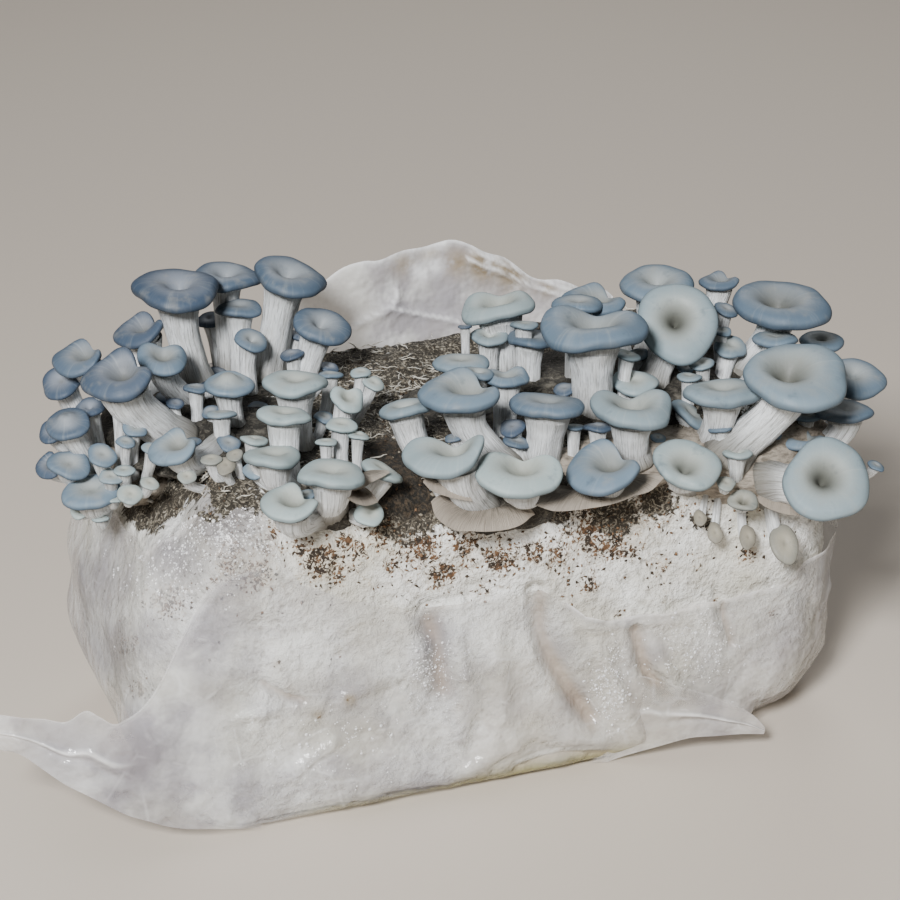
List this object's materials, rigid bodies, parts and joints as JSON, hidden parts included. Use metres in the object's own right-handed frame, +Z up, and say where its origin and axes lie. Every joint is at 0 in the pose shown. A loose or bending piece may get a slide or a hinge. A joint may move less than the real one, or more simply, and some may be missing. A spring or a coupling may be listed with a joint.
{
  "type": "oyster mushroom grow kit",
  "caption": "Sawdust block bound by white mycelium, lying in an opened translucent bag, with clusters of blue oyster mushrooms growing from its top edges.",
  "frame": {"origin": "middle of the underside of the kit's bounding box, on the floor it stands on", "axes": "+X along the block's long side, -Y towards its front, where the mushrooms of the right cluster hang over, +Z up"},
  "size_m": [0.4232, 0.2262, 0.2182],
  "materials": {
    "mycelium_block": "matt white mycelium crust with brown specks of sawdust",
    "bag_film": "thin milky translucent film, crumpled",
    "mushroom_flesh": "off-white, finely ribbed, satin",
    "cap_blue": "steel blue, velvety satin",
    "cap_pale": "pale blue green, velvety satin"
  },
  "bodies": {
    "root": {"left_01_cap": "cap_blue", "left_01_stem": "mushroom_flesh", "left_02_cap": "cap_blue", "left_02_stem": "mushroom_flesh", "left_03_cap": "cap_blue", "left_03_stem": "mushroom_flesh", "left_04_cap": "cap_blue", "left_04_stem": "mushroom_flesh", "left_05_cap": "cap_blue", "left_05_stem": "mushroom_flesh", "left_06_cap": "cap_blue", "left_06_stem": "mushroom_flesh", "left_07_cap": "cap_blue", "left_07_stem": "mushroom_flesh", "left_08_cap": "cap_blue", "left_08_stem": "mushroom_flesh", "left_09_cap": "cap_blue", "left_09_stem": "mushroom_flesh", "left_10_cap": "cap_blue", "left_10_stem": "mushroom_flesh", "left_11_cap": "cap_blue", "left_11_stem": "mushroom_flesh", "left_12_cap": "cap_blue", "left_12_stem": "mushroom_flesh", "left_cluster_base": "mushroom_flesh", "plastic_bag": "bag_film", "right_01_cap": "cap_blue", "right_01_stem": "mushroom_flesh", "right_02_cap": "cap_pale", "right_02_stem": "mushroom_flesh", "right_03_cap": "cap_pale", "right_03_stem": "mushroom_flesh", "right_04_cap": "cap_blue", "right_04_stem": "mushroom_flesh", "right_05_cap": "cap_blue", "right_05_stem": "mushroom_flesh", "right_06_cap": "cap_pale", "right_06_stem": "mushroom_flesh", "right_07_cap": "cap_pale", "right_07_stem": "mushroom_flesh", "right_08_cap": "cap_pale", "right_08_stem": "mushroom_flesh", "right_09_cap": "cap_pale", "right_09_stem": "mushroom_flesh", "right_10_cap": "cap_pale", "right_10_stem": "mushroom_flesh", "right_11_cap": "cap_pale", "right_11_stem": "mushroom_flesh", "right_12_cap": "cap_pale", "right_12_stem": "mushroom_flesh", "right_13_cap": "cap_pale", "right_13_stem": "mushroom_flesh", "right_14_cap": "cap_pale", "right_14_stem": "mushroom_flesh", "right_cluster_base": "mushroom_flesh", "substrate_block": "mycelium_block"}
  },
  "joints": []
}
